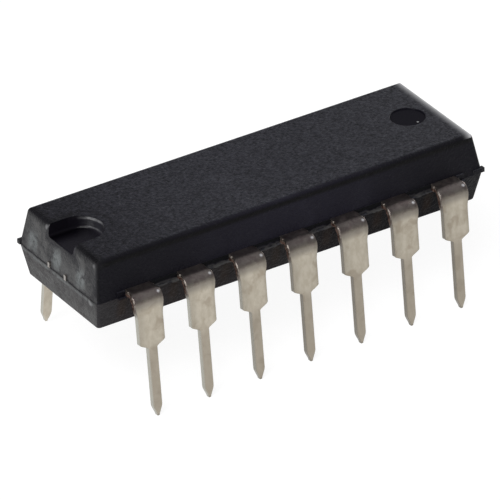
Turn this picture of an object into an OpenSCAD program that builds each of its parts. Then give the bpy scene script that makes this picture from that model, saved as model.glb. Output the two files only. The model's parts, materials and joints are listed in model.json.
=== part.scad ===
// Dual in-line integrated circuit with fourteen leads, lengths in millimetres.
// The frame's origin is the middle of the lead pattern, on the plane where the
// narrow pins begin, which is where the package seats on a board. X runs along the
// package and the orientation notch is at its -X end. Z points up.
// Leads 1 to 7 stand along the -Y side, counted from the notch, and leads 8 to 14
// come back along the +Y side.

/* [Moulded body] */
// Length of the lower half along the parting line
body_length = 19.3; // [19.1:0.05:19.7]
// Width of the lower half along the parting line
body_width = 6.3; // [6.2:0.05:6.6]
// Height of the moulding above the top of the lead frame
upper_height = 1.55; // [1.4:0.05:1.8]
// Height of the moulding below the top of the lead frame
lower_height = 1.7; // [1.5:0.05:2]
// Distance by which the upper half stands back from the lower half
mould_step = 0.02; // [0.01:0.01:0.06]
// Draft of both ends, in degrees
end_draft = 8.5; // [6:0.5:11]
// Draft of the long sides of the upper half, in degrees
upper_side_draft = 11; // [8:0.5:14]
// Draft of the long sides of the lower half, in degrees
lower_side_draft = 14.5; // [8:0.5:16]
// Radius of the edges round the top face
top_edge_radius = 0.25; // [0.1:0.05:0.35]
// Radius of the edges round the underside
bottom_edge_radius = 0.14; // [0.06:0.02:0.2]
// Radius of the upright corners of the upper half
upper_corner_radius = 0.16; // [0.08:0.02:0.3]
// Radius of the upright corners of the lower half
lower_corner_radius = 0.2; // [0.1:0.05:0.4]
// Distance by which the resin between the leads stands out past the parting line
dam_resin_reach = 0.04; // [0.02:0.01:0.08]
// Distance from each end of the moulding back to the end of that resin
dam_resin_setback = 1; // [0.8:0.05:1.2]
// Distance by which the thin ledge under that resin stands out
ledge_reach = 0.16; // [0.1:0.01:0.2]
// Thickness of the ledge
ledge_thickness = 0.06; // [0.04:0.01:0.1]
// Distance by which the flash at two of the corners stands out of the end
corner_flash_reach = 0.06; // [0.04:0.01:0.12]
// Width of the corner flash
corner_flash_width = 0.2; // [0.15:0.05:0.4]
// Thickness of the corner flash
corner_flash_thickness = 0.2; // [0.1:0.05:0.25]

/* [Orientation notch] */
// Width of the notch across its rim
notch_width = 2.1; // [1.6:0.1:2.6]
// Reach of the notch in from the end of the top face
notch_length = 1.95; // [1.5:0.05:2.4]
// Depth of the notch below the top face
notch_depth = 0.55; // [0.3:0.05:0.8]
// Draft of the notch wall, in degrees
notch_draft = 9; // [3:1:15]
// Radius where the notch wall meets the floor
notch_fillet = 0.15; // [0.05:0.05:0.2]

/* [Ejector marks] */
// Diameter of the shallow round mark that an ejector pin leaves
ejector_diameter = 1.55; // [1.2:0.05:1.9]
// Depth of the ejector marks
ejector_depth = 0.05; // [0.02:0.01:0.08]
// Distance from the middle of the package to each ejector mark
ejector_reach = 7.9; // [7.4:0.1:8.2]

/* [Lead frame] */
// Distance between neighbouring leads of a row
lead_pitch = 2.54; // [2.5:0.01:2.58]
// Thickness of the lead frame sheet
sheet_thickness = 0.25; // [0.2:0.01:0.3]
// Span over the outer faces of both rows, level with the top of the lead frame
lead_span = 7.95; // [7.7:0.05:8.3]
// Outward lean of the front row's legs as supplied, in degrees
front_splay = 5; // [0:0.5:9]
// Outward lean of the back row's legs as supplied, in degrees
back_splay = 8.5; // [0:0.5:10]
// Inside radius of the bend
bend_radius = 0.25; // [0.15:0.05:0.35]
// Width of the broad upper part of each leg
shoulder_width = 1.25; // [1.1:0.01:1.5]
// Height of the broad part, from the top of the lead frame down to its corners
shoulder_height = 2.2; // [1.9:0.05:2.5]
// Height over which the broad part narrows to the pin
shoulder_taper = 0.3; // [0.2:0.05:0.5]
// Width of the narrow pin
pin_width = 0.45; // [0.4:0.01:0.54]
// Length of the pin below the seating plane
pin_length = 3.2; // [2.9:0.05:3.6]
// Length of the tapered tip of the pin
tip_taper = 0.55; // [0.3:0.05:0.8]
// Width of the very end of the pin
tip_width = 0.12; // [0.08:0.02:0.2]
// Height by which the sheared dam bar stands out of each side of a lead
dam_bar_stub = 0.03; // [0.01:0.01:0.05]
// Length of the sheared dam bar along the lead
dam_bar_length = 0.2; // [0.1:0.05:0.25]

/* [Inside the moulding] */
// Depth to which the broad part of a lead reaches into the moulding
anchor_depth = 0.6; // [0.4:0.05:0.8]
// Width of the inner finger where it leaves the broad part
finger_width = 0.5; // [0.4:0.05:0.6]
// Width of the inner finger at its bonding tip
finger_tip_width = 0.3; // [0.2:0.02:0.34]
// Straight start of the fingers on either side of the middle one
side_finger_start = 0.25; // [0.15:0.05:0.35]
// Straight start of the second finger from each end of a row
inner_finger_start = 0.3; // [0.2:0.05:0.4]
// Straight start of the outermost fingers of a row
outer_finger_start = 0.75; // [0.65:0.05:0.85]
// Gap between the finger tips and the die paddle
finger_gap = 0.3; // [0.2:0.05:0.4]
// Spacing of the three finger tips beside the long edge of the die paddle
side_tip_pitch = 1.3; // [1.1:0.1:1.5]
// Spacing of the two finger tips beside the end of the die paddle
end_tip_pitch = 0.57; // [0.5:0.01:0.6]
// Distance from the long edge of the die paddle in to the first of those two tips
end_tip_inset = 0.22; // [0.16:0.02:0.26]
// Length of the die paddle
paddle_length = 4.6; // [4:0.1:5]
// Width of the die paddle
paddle_width = 2.8; // [2.6:0.1:3]
// Width of the single bar that leads from the paddle towards each end
tie_bar_width = 0.5; // [0.3:0.05:0.6]
// Distance from the end of the moulding back to the fork of the tie bar
fork_setback = 2.05; // [1.8:0.05:2.3]
// Length of the fork along the tie bar
fork_length = 0.8; // [0.6:0.1:1]
// Width of each of the two arms that reach the outside
tie_arm_width = 0.15; // [0.1:0.05:0.3]
// Distance between the middles of the two arms
tie_arm_spacing = 1.3; // [1:0.1:1.6]
// Length by which the sheared arms stand out of the ends
tie_arm_stub = 0.04; // [0.02:0.01:0.12]
// Length of the silicon die
die_length = 1.8; // [1.4:0.1:2.2]
// Width of the silicon die
die_width = 1.4; // [1.2:0.1:1.8]
// Thickness of the silicon die
die_thickness = 0.25; // [0.18:0.01:0.35]
// Thickness of the adhesive under the die
attach_thickness = 0.03; // [0.02:0.01:0.05]
// Width of the adhesive that shows round the die
attach_margin = 0.06; // [0.02:0.02:0.1]
// Distance from the edges of the die in to its bond pads
pad_inset = 0.1; // [0.08:0.01:0.15]
// Spacing of the bond pads along the long edges of the die
pad_pitch = 0.45; // [0.3:0.05:0.5]
// Spacing of the bond pads along the ends of the die
end_pad_pitch = 0.2; // [0.14:0.02:0.2]
// Distance from the finger's tip back to where the wire is stitched down
landing_inset = 0.14; // [0.1:0.02:0.2]
// Diameter of the ball at the start of each bond wire
ball_diameter = 0.09; // [0.08:0.01:0.12]
// Diameter of the bond wires
wire_diameter = 0.03; // [0.025:0.005:0.05]
// Rise of each bond wire above the straight line between its ends
wire_rise = 0.3; // [0.2:0.05:0.4]

/* [Hidden] */
leads_per_row = 7;
lead_count = 2 * leads_per_row;
middle_lead = (leads_per_row + 1) / 2;
$fn = 48;
resin = [0.17, 0.17, 0.19];
tinned_alloy = [0.68, 0.66, 0.61];
silver_epoxy = [0.7, 0.7, 0.68];
silicon = [0.3, 0.32, 0.37];
gold = [0.85, 0.66, 0.25];

// Heights of the planes that the pieces share
frame_top = shoulder_height + shoulder_taper;
frame_bottom = frame_top - sheet_thickness;
body_top = frame_top + upper_height;
body_bottom = frame_top - lower_height;
attach_top = frame_top + attach_thickness;
die_top = attach_top + die_thickness;

// The mould parts level with the underside of the lead frame
upper_depth = upper_height + sheet_thickness;
lower_depth = lower_height - sheet_thickness;
upper_length = body_length - 2 * mould_step;
upper_width = body_width - 2 * mould_step;
top_length = upper_length - 2 * upper_depth * tan(end_draft);
edge_steps = 6;
// Turn from one facet of a rounded corner to the next
corner_step = 22.5;

outer_radius = bend_radius + sheet_thickness;
bend_z = frame_top - outer_radius;
taper_steps = 6;

anchor_y = -body_width / 2 + anchor_depth;
paddle_edge_y = -paddle_width / 2;
tip_reach_x = paddle_length / 2 + finger_gap;
tip_reach_y = paddle_edge_y - finger_gap;
// Leads this many places from the middle one, or fewer, end beside the long edge
last_side_tip = 1;
// Straight starts of the inner fingers, from beside the middle one outwards
knee_drops = [side_finger_start, inner_finger_start, outer_finger_start];
fork_start = body_length / 2 - fork_setback;
ball_height = wire_diameter;
wire_sides = 6;
// Cuts run past the surface that they open by this much
overcut = 0.5;

function lead_x(k) = (k - middle_lead) * lead_pitch;

// The leg turns through this angle from the flat sheet to its leaning line
function bend_angle(splay) = 90 - splay;
function bend_y(splay) = -lead_span / 2 + outer_radius * tan(bend_angle(splay) / 2);
// Height of the outer face where the bend ends and the straight leg begins
function leg_top(splay) = bend_z + outer_radius * cos(bend_angle(splay));
// The inner edge of the slanted tip reaches lowest, at exactly the pin's length
function leg_end(splay) = leg_top(splay) + pin_length - sheet_thickness * sin(splay);

// An arc from angle a to angle b round a centre, as points
function arc(centre, radius, a, b, steps) =
    [for (i = [0 : steps]) centre + radius * [cos(a + (b - a) * i / steps), sin(a + (b - a) * i / steps)]];

// A half width that runs from one value to another along an S-shaped curve
function ease(from_w, to_w, from_v, to_v) =
    [for (i = [0 : taper_steps]) let (s = i / taper_steps)
        [from_w + (to_w - from_w) * s * s * (3 - 2 * s), from_v + (to_v - from_v) * s]];

function mirrored(points) = [for (i = [len(points) - 1 : -1 : 0]) [-points[i][0], points[i][1]]];

function unit(v) = v / norm(v);
function left_of(v) = [-v[1], v[0]];

// Sideways offset at point i of a path, mitred where the path turns
function mitre(path, i) =
    let (last = len(path) - 1,
         before = left_of(unit(path[max(i, 1)] - path[max(i, 1) - 1])),
         after = left_of(unit(path[min(i, last - 1) + 1] - path[min(i, last - 1)])),
         middle = unit(before + after))
    middle / (middle * after);

// Outline of a flat strip along a path, with its own half width at each point
function strip(path, half_widths) = concat(
    [for (i = [0 : len(path) - 1]) path[i] + mitre(path, i) * half_widths[i]],
    [for (i = [len(path) - 1 : -1 : 0]) path[i] - mitre(path, i) * half_widths[i]]
);

// Section of one mould half: drafted sides, with the two top corners rounded
module half_section(span, height, draft, radius) {
    top_half = span / 2 - height * tan(draft);
    centre_x = top_half - radius * tan(45 - draft / 2);
    right = concat(
        [[span / 2, 0]],
        arc([centre_x, height - radius], radius, draft, 90, edge_steps)
    );
    polygon(concat(right, mirrored(right)));
}

// One mould half standing on the parting plane. It is what the same section leaves when
// it is turned step by step round the upright axis: the ends, the long sides, and the
// facets of the rounded corners between them, each with its own span and draft.
module mould_half(length, width, height, side_draft, edge_radius, corner_radius) {
    intersection_for (turn = [0 : corner_step : 180 - corner_step]) {
        along = abs(cos(turn));
        across = abs(sin(turn));
        span = (length - 2 * corner_radius) * along
            + (width - 2 * corner_radius) * across
            + 2 * corner_radius;
        draft = atan(tan(end_draft) * along + tan(side_draft) * across);
        rotate([90, 0, turn])
            linear_extrude(height = 2 * length, center = true)
                half_section(span, height, draft, edge_radius);
    }
}

// Right half of the notch's section, measured up from its floor
module notch_section() {
    rim = notch_width / 2 + overcut * tan(notch_draft);
    floor_half = notch_width / 2 - notch_depth * tan(notch_draft);
    fillet_x = floor_half - notch_fillet * tan(45 - notch_draft / 2);
    polygon(concat(
        [[0, 0]],
        arc([fillet_x, notch_fillet], notch_fillet, -90, -notch_draft, edge_steps),
        [[rim, notch_depth + overcut], [0, notch_depth + overcut]]
    ));
}

// The notch: a straight channel from the end face, closed by a half round
module notch() {
    centre_x = -top_length / 2 + notch_length - notch_width / 2;
    channel = body_length / 2 + overcut + centre_x;
    translate([centre_x, 0, body_top - notch_depth]) {
        rotate([0, 0, -90])
            rotate_extrude(angle = 180)
                notch_section();
        for (side = [0, 1])
            mirror([0, side, 0])
                rotate([90, 0, -90])
                    linear_extrude(height = channel)
                        mirror([1, 0])
                            notch_section();
    }
}

module ejector_mark(x, face_z) {
    translate([x, 0, face_z - ejector_depth])
        cylinder(d = ejector_diameter, h = 2 * ejector_depth);
}

// Outline of the resin in the gaps of the front row and beyond its outermost leads
module gaps_outline(reach) {
    end_x = body_length / 2 - dam_resin_setback;
    difference() {
        translate([-end_x, -body_width / 2 - reach])
            square([2 * end_x, reach + overcut]);
        for (k = [1 : leads_per_row])
            translate([lead_x(k) - shoulder_width / 2, -body_width / 2 - reach - overcut])
                square([shoulder_width, reach + 3 * overcut]);
    }
}

// Resin that the dam bars held back between the leads while the moulding was cast,
// and the thin ledge under it
module dam_resin() {
    for (turn = [0, 180])
        rotate([0, 0, turn])
            translate([0, 0, frame_bottom]) {
                linear_extrude(height = sheet_thickness)
                    gaps_outline(dam_resin_reach);
                translate([0, 0, -ledge_thickness])
                    linear_extrude(height = ledge_thickness)
                        gaps_outline(ledge_reach);
            }
}

// Flash where the resin came in at one corner and the air left at the opposite one
module corner_flash() {
    for (turn = [0, 180])
        rotate([0, 0, turn])
            translate([body_length / 2 - overcut, -body_width / 2, frame_bottom])
                cube([overcut + corner_flash_reach, corner_flash_width, corner_flash_thickness]);
}

module moulding_blank() {
    translate([0, 0, frame_bottom]) {
        mould_half(upper_length, upper_width, upper_depth, upper_side_draft, top_edge_radius,
            upper_corner_radius);
        mirror([0, 0, 1])
            mould_half(body_length, body_width, lower_depth, lower_side_draft, bottom_edge_radius,
                lower_corner_radius);
    }
    dam_resin();
    corner_flash();
}

// The moulding is cast round the lead frame, so the pieces inside it cut their own
// places from it
module package_body() {
    color(resin)
        difference() {
            moulding_blank();
            notch();
            ejector_mark(ejector_reach, body_top);
            for (x = [-ejector_reach, ejector_reach])
                ejector_mark(x, body_bottom);
            for (n = [1 : lead_count])
                lead(n);
            die_paddle();
            die_attach();
            die();
            for (n = [1 : lead_count])
                bond_wire(n);
        }
}

// Bonding tip of the inner finger of lead k of the front row. The three middle
// fingers stop beside the paddle's long edge, the others beside its end.
function finger_tip(k) =
    let (m = k - middle_lead, side = sign(m), place = abs(m) - last_side_tip)
    place <= 0
        ? [m * side_tip_pitch, tip_reach_y]
        : [side * tip_reach_x, paddle_edge_y + end_tip_inset + (place - 1) * end_tip_pitch];

// Route of the inner finger from the broad part of the lead to its bonding tip
function finger_path(k) =
    let (m = k - middle_lead)
    m == 0
        ? [[0, anchor_y], finger_tip(k)]
        : [[lead_x(k), anchor_y], [lead_x(k), anchor_y + knee_drops[abs(m) - 1]], finger_tip(k)];

function finger_half_widths(k) =
    k == middle_lead
        ? [finger_width / 2, finger_tip_width / 2]
        : [finger_width / 2, finger_width / 2, finger_tip_width / 2];

// Flat part of lead k: the broad part from the bend to its anchor in the resin, the
// sheared ends of the dam bar just outside the body, and the inner finger
module lead_sheet(k, splay) {
    translate([lead_x(k) - shoulder_width / 2, bend_y(splay)])
        square([shoulder_width, anchor_y - bend_y(splay)]);
    translate([lead_x(k) - shoulder_width / 2 - dam_bar_stub, -body_width / 2 - dam_bar_length])
        square([shoulder_width + 2 * dam_bar_stub, dam_bar_length]);
    polygon(strip(finger_path(k), finger_half_widths(k)));
}

// Outline of the straight leg, down from the end of the bend: broad part, shoulders,
// narrow pin and tapered tip
module leg_outline(splay) {
    seat = leg_top(splay);
    end = leg_end(splay);
    right = concat(
        [[shoulder_width / 2, 0]],
        ease(shoulder_width / 2, pin_width / 2, seat - shoulder_taper, seat),
        ease(pin_width / 2, tip_width / 2, end - tip_taper, end)
    );
    polygon(concat(right, mirrored(right)));
}

module front_lead(k, splay) {
    translate([0, 0, frame_bottom])
        linear_extrude(height = sheet_thickness)
            lead_sheet(k, splay);
    // Here X points up from the centre of the bend and Y points outwards
    translate([lead_x(k), bend_y(splay), bend_z])
        rotate([180, -90, 0]) {
            rotate_extrude(angle = bend_angle(splay))
                translate([bend_radius, -shoulder_width / 2])
                    square([sheet_thickness, shoulder_width]);
            rotate([0, 0, bend_angle(splay)])
                translate([bend_radius, 0, 0])
                    rotate([0, 90, 0])
                        linear_extrude(height = sheet_thickness)
                            scale([1, 1 / cos(splay)])
                                leg_outline(splay);
        }
}

// The back row is the front row turned half round, with its own lean
module lead(n) {
    color(tinned_alloy)
        if (n > leads_per_row)
            rotate([0, 0, 180])
                front_lead(n - leads_per_row, back_splay);
        else
            front_lead(n, front_splay);
}

// Half of the paddle's outline: the tie bar runs to the end of the package, where it
// forks into two arms that are sheared off just outside the moulding
module paddle_half() {
    fork_width = tie_arm_spacing + tie_arm_width;
    arm_end = body_length / 2 + tie_arm_stub;
    translate([0, paddle_edge_y])
        square([paddle_length / 2, paddle_width]);
    translate([0, -tie_bar_width / 2])
        square([fork_start, tie_bar_width]);
    translate([fork_start, -fork_width / 2])
        square([fork_length, fork_width]);
    for (side = [-1, 1])
        translate([fork_start, side * tie_arm_spacing / 2 - tie_arm_width / 2])
            square([arm_end - fork_start, tie_arm_width]);
}

module die_paddle() {
    color(tinned_alloy)
        translate([0, 0, frame_bottom])
            linear_extrude(height = sheet_thickness)
                for (side = [0, 1])
                    mirror([side, 0])
                        paddle_half();
}

module die_attach() {
    color(silver_epoxy)
        translate([-die_length / 2 - attach_margin, -die_width / 2 - attach_margin, frame_top])
            cube([die_length + 2 * attach_margin, die_width + 2 * attach_margin, attach_thickness]);
}

module die() {
    color(silicon)
        translate([-die_length / 2, -die_width / 2, attach_top])
            cube([die_length, die_width, die_thickness]);
}

// Bond pad on the die for lead k of the front row
function pad_place(k) =
    let (m = k - middle_lead, side = sign(m))
    abs(m) <= last_side_tip
        ? [m * pad_pitch, -die_width / 2 + pad_inset]
        : [side * (die_length / 2 - pad_inset),
           -die_width / 2 + pad_inset + (abs(m) - last_side_tip) * end_pad_pitch];

// Place on the finger where the wire is stitched down, set back from the very tip
function landing(k) =
    let (path = finger_path(k), tip = path[len(path) - 1], knee = path[len(path) - 2])
    tip + unit(knee - tip) * landing_inset;

// A ball on the die, and an arc that comes down on the finger. The arc's radius
// follows from its chord and its rise.
module wire_arc(k) {
    start = pad_place(k);
    reach = landing(k) - start;
    run = norm(reach);
    drop = die_top - frame_top;
    chord = norm([run, drop]);
    radius = chord * chord / (8 * wire_rise) + wire_rise / 2;
    half_angle = asin(chord / 2 / radius);
    tilt = atan2(drop, run);
    centre = [run / 2, drop / 2] - (radius - wire_rise) * [sin(tilt), cos(tilt)];
    translate([start[0], start[1], die_top])
        cylinder(d = ball_diameter, h = ball_height);
    translate([start[0], start[1], frame_top])
        rotate([90, 0, atan2(reach[1], reach[0])])
            translate(centre)
                rotate([0, 0, 90 - tilt - half_angle])
                    rotate_extrude(angle = 2 * half_angle)
                        translate([radius, 0])
                            circle(d = wire_diameter, $fn = wire_sides);
}

// One gold wire of the front row, trimmed flush with the die and with the finger
module front_wire(k) {
    stitch = landing(k);
    difference() {
        wire_arc(k);
        die();
        translate([stitch[0] - wire_diameter, stitch[1] - wire_diameter, frame_top - wire_diameter])
            cube([2 * wire_diameter, 2 * wire_diameter, wire_diameter]);
    }
}

module bond_wire(n) {
    color(gold)
        rotate([0, 0, n > leads_per_row ? 180 : 0])
            front_wire(n > leads_per_row ? n - leads_per_row : n);
}

package_body();
for (n = [1 : lead_count])
    lead(n);
die_paddle();
die_attach();
die();
for (n = [1 : lead_count])
    bond_wire(n);
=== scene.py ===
"""Looks of a moulded dual in-line circuit with fourteen tinned leads.

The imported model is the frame: X runs along the package away from the notch, Z points
up, and Z = 0 is the plane where the narrow pins begin. Sizes and places are in
millimetres and become metres when a mesh is made. The floor's width, the lamps and the
camera are in metres.
"""
import json
import math
from types import SimpleNamespace

import bpy
import numpy as np
from mathutils import Matrix, Vector

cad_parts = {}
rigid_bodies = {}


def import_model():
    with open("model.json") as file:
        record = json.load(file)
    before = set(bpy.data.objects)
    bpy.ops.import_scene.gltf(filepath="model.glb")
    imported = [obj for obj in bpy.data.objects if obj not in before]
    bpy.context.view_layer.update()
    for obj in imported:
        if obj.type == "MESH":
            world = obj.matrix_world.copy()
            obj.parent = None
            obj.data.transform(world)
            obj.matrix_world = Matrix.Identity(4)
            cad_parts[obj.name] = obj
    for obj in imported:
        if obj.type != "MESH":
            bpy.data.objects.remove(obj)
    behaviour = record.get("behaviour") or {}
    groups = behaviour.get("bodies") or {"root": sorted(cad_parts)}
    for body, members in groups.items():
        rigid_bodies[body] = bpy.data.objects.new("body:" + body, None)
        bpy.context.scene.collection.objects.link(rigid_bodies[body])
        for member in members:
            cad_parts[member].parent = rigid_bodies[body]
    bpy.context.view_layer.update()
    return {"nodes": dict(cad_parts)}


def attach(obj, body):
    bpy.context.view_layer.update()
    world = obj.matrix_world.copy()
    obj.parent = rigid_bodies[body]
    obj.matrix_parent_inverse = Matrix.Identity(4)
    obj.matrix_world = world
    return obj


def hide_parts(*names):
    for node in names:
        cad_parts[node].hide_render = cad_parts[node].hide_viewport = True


for leftover in list(bpy.data.objects):
    bpy.data.objects.remove(leftover)
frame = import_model()
nodes = frame["nodes"]
MM = 0.001

# Sizes shared with the solids
LEAD_PITCH = 2.54
LEADS_PER_ROW = 7
SHEET = 0.25
FRAME_TOP = 2.5
FRAME_BOTTOM = FRAME_TOP - SHEET
BODY_WIDTH = 6.3
BODY_LENGTH = 19.3
BODY_TOP = 4.05
LEAD_SPAN = 7.95
FRONT_LEAN = math.radians(5)
BACK_LEAN = math.radians(8.5)
INSIDE_BEND = 0.25
SHOULDER_HALF = 0.625
PIN_HALF = 0.225
TIP_HALF = 0.06
SHOULDER_TAPER = 0.3
PIN_LENGTH = 3.2
TIP_TAPER = 0.55
ANCHOR_DEPTH = 0.6
DAM_STUB = 0.03
DAM_LENGTH = 0.2
EJECTOR_REACH = 7.9
EJECTOR_RADIUS = 0.775
EJECTOR_DEPTH = 0.05

# Sizes of the finish
BACK_TIP_WEAR = 0.15
BEND_SWELL = 0.085
SWELL_RUN_OUT = 0.6
ROLL_RADIUS = 0.06
BURR_RADIUS = 0.018
SIDE_HOLLOW = 0.012
COINED_LENGTH = 0.25
COINED_SHARE = 0.3
TIP_ROUND = 0.03
TIP_EDGE_SHARE = 0.35
EASED_EDGE = 0.045
GRAIN_SIZE = 0.125
GRAIN_DEPTH = 0.03


# Camera

CAMERA_RIGHT = (0.84289, -0.53753, -0.02446)
CAMERA_UP = (0.29101, 0.41716, 0.86098)
CAMERA_BACK = (-0.45260, -0.73283, 0.50805)
CAMERA_PLACE = (-0.158911, -0.257020, 0.178374)
CAMERA_LENS = 595.99
CAMERA_SENSOR = 36


def place_camera():
    """The viewpoint that was worked out from edges measured in the photograph."""
    camera = bpy.data.objects.new("photo_camera", bpy.data.cameras.new("photo_camera"))
    axes = (CAMERA_RIGHT, CAMERA_UP, CAMERA_BACK, CAMERA_PLACE)
    camera.matrix_world = Matrix([[axis[i] for axis in axes] for i in range(3)] + [[0, 0, 0, 1]])
    camera.data.sensor_width = CAMERA_SENSOR
    camera.data.lens = CAMERA_LENS
    camera.data.clip_start = 0.01
    camera.data.clip_end = 5
    bpy.context.scene.collection.objects.link(camera)
    bpy.context.scene.camera = camera


place_camera()


# Shader building blocks

def put_in(tree, socket, value):
    """Links a value to a socket, or sets it there when it is a plain one."""
    if isinstance(value, bpy.types.NodeSocket):
        tree.links.new(value, socket)
    else:
        socket.default_value = value


def add(tree, kind, settings=None, **sockets):
    """Adds one shader node, sets its fields and fills or links its inputs by name."""
    node = tree.nodes.new(kind)
    for field, value in (settings or {}).items():
        setattr(node, field, value)
    for name, value in sockets.items():
        put_in(tree, node.inputs[name.replace("_", " ")], value)
    return node


def sums(tree, operation, *terms, clamp=False):
    """One sum on plain numbers or sockets."""
    node = add(tree, "ShaderNodeMath", {"operation": operation, "use_clamp": clamp})
    for socket, term in zip(node.inputs, terms):
        put_in(tree, socket, term)
    return node.outputs[0]


def times(tree, *factors):
    """Product of all factors."""
    result = factors[0]
    for factor in factors[1:]:
        result = sums(tree, "MULTIPLY", result, factor)
    return result


def either(tree, *masks):
    """The largest of several masks."""
    result = masks[0]
    for mask in masks[1:]:
        result = sums(tree, "MAXIMUM", result, mask)
    return result


def outside(tree, mask):
    """1 where a mask is 0, and 0 where it is 1."""
    return sums(tree, "SUBTRACT", 1.0, mask)


def size_of(tree, value):
    """A value without its sign."""
    return sums(tree, "ABSOLUTE", value)


def weighted(tree, *terms):
    """Sum of values that each count with a weight of their own."""
    total = None
    for value, weight in terms:
        term = value if weight == 1 else sums(tree, "MULTIPLY", value, weight)
        total = term if total is None else sums(tree, "ADD", total, term)
    return total


def rescale(tree, value, low, high, to_low=0.0, to_high=1.0, smooth=True):
    """Takes a value from one range to another and holds it there."""
    kind = "SMOOTHSTEP" if smooth else "LINEAR"
    node = add(tree, "ShaderNodeMapRange", {"interpolation_type": kind})
    limits = (("Value", value), ("From Min", low), ("From Max", high),
              ("To Min", to_low), ("To Max", to_high))
    for name, number in limits:
        put_in(tree, node.inputs[name], number)
    return node.outputs[0]


def falling(tree, value, low, high):
    """1 below the first limit, 0 above the second, and smooth between them."""
    return rescale(tree, value, low, high, 1.0, 0.0)


def within(tree, value, low, high, soft=0.01):
    """1 where a value lies between two limits, with soft edges."""
    return times(tree, rescale(tree, value, low - soft, low + soft),
                 falling(tree, value, high - soft, high + soft))


def near_point(tree, place, centre, radius, soft):
    """1 inside a ball round a point and 0 outside its soft skin."""
    gap = add(tree, "ShaderNodeVectorMath", {"operation": "DISTANCE"})
    put_in(tree, gap.inputs[0], place)
    put_in(tree, gap.inputs[1], centre)
    return falling(tree, gap.outputs["Value"], radius, radius + soft)


def blend(tree, share, first, second, kind="MIX"):
    """Mixes two colours by a share."""
    node = add(tree, "ShaderNodeMix", {"data_type": "RGBA", "blend_type": kind, "clamp_factor": True})
    for socket, value in ((node.inputs[0], share), (node.inputs[6], first), (node.inputs[7], second)):
        put_in(tree, socket, value)
    return node.outputs[2]


def paint(tree, colour, *layers):
    """Lays tones over a colour in turn. A layer is its mask, its strength and its tone."""
    for mask, strength, layer in layers:
        share = mask if strength == 1 else sums(tree, "MULTIPLY", mask, strength)
        colour = blend(tree, share, colour, layer)
    return colour


def tone(*rgb):
    """A linear colour that is solid."""
    return (*rgb, 1.0)


BLACK = tone(0.0, 0.0, 0.0)


def noise(tree, place, size, detail=2.0, roughness=0.5, stretch=(1, 1, 1), distortion=0.0):
    """Noise whose lumps are about `size` millimetres across, drawn out by `stretch`."""
    mapping = add(tree, "ShaderNodeMapping", Vector=place, Scale=[1 / (size * s) for s in stretch])
    node = add(tree, "ShaderNodeTexNoise", Vector=mapping.outputs[0], Scale=1.0, Detail=detail,
               Roughness=roughness, Distortion=distortion)
    return node.outputs[0]


def in_units(tree, place, unit):
    """A place counted in units of a size."""
    node = add(tree, "ShaderNodeVectorMath", {"operation": "DIVIDE"})
    put_in(tree, node.inputs[0], place)
    put_in(tree, node.inputs[1], unit)
    return node.outputs[0]


def new_group(name, inputs, outputs):
    """An empty node group with its sockets, and its two ends."""
    tree = bpy.data.node_groups.new(name, "ShaderNodeTree")
    kinds = {"vector": "NodeSocketVector", "value": "NodeSocketFloat"}
    for label, kind in inputs:
        tree.interface.new_socket(label, in_out="INPUT", socket_type=kinds[kind])
    for label, kind in outputs:
        tree.interface.new_socket(label, in_out="OUTPUT", socket_type=kinds[kind])
    return tree, tree.nodes.new("NodeGroupInput").outputs, tree.nodes.new("NodeGroupOutput").inputs


def use(tree, group, **sockets):
    """Places a node group and gives its outputs."""
    node = tree.nodes.new("ShaderNodeGroup")
    node.node_tree = group
    for name, value in sockets.items():
        put_in(tree, node.inputs[name], value)
    return node.outputs


def new_material(name, **settings):
    """A material with a Principled shader whose plain values are set on its own sockets."""
    material = bpy.data.materials.new(name)
    material.use_nodes = True
    tree = material.node_tree
    tree.nodes.clear()
    shader = add(tree, "ShaderNodeBsdfPrincipled", **settings)
    output = tree.nodes.new("ShaderNodeOutputMaterial")
    tree.links.new(shader.outputs[0], output.inputs[0])
    coordinates = tree.nodes.new("ShaderNodeTexCoord")
    place = add(tree, "ShaderNodeVectorMath", {"operation": "SCALE"}, Scale=1 / MM)
    put_in(tree, place.inputs[0], coordinates.outputs["Object"])
    return material, tree, shader, place.outputs[0]


def join_up(tree, shader, colour, roughness, height, depth, metallic=None):
    """Links the surface's own values to the shader. Height is in units of `depth`."""
    tree.links.new(colour, shader.inputs["Base Color"])
    tree.links.new(roughness, shader.inputs["Roughness"])
    if metallic is not None:
        tree.links.new(metallic, shader.inputs["Metallic"])
    bump = add(tree, "ShaderNodeBump", Strength=1.0, Distance=depth * MM, Height=height)
    tree.links.new(bump.outputs[0], shader.inputs["Normal"])


# Effects that several materials share

def make_grain():
    """Fine pits and specks: two sizes of noise, pushed apart so that single grains read."""
    tree, given, result = new_group(
        "fine_grain", [("Position", "vector"), ("Size", "value"), ("Contrast", "value")],
        [("Height", "value"), ("Speck", "value")])
    place = in_units(tree, given["Position"], given["Size"])
    coarse = noise(tree, place, 1.0, detail=2.0, roughness=0.6)
    fine = noise(tree, place, 0.45, detail=1.0)
    mixed = weighted(tree, (coarse, 0.65), (fine, 0.35))
    pushed = sums(tree, "MULTIPLY", sums(tree, "SUBTRACT", mixed, 0.5), given["Contrast"])
    tree.links.new(sums(tree, "ADD", pushed, 0.5, clamp=True), result["Height"])
    tree.links.new(rescale(tree, mixed, 0.6, 0.72), result["Speck"])
    return tree


def make_smudges():
    """Cloudy patches with soft edges, as handling and mould release leave them."""
    tree, given, result = new_group(
        "smudges", [("Position", "vector"), ("Size", "value"), ("Cover", "value")],
        [("Mask", "value")])
    place = in_units(tree, given["Position"], given["Size"])
    cloud = noise(tree, place, 1.0, detail=4.0, roughness=0.55, distortion=0.6)
    edge = sums(tree, "SUBTRACT", 0.72, sums(tree, "MULTIPLY", given["Cover"], 0.42))
    tree.links.new(rescale(tree, cloud, edge, sums(tree, "ADD", edge, 0.18)), result["Mask"])
    return tree


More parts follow.
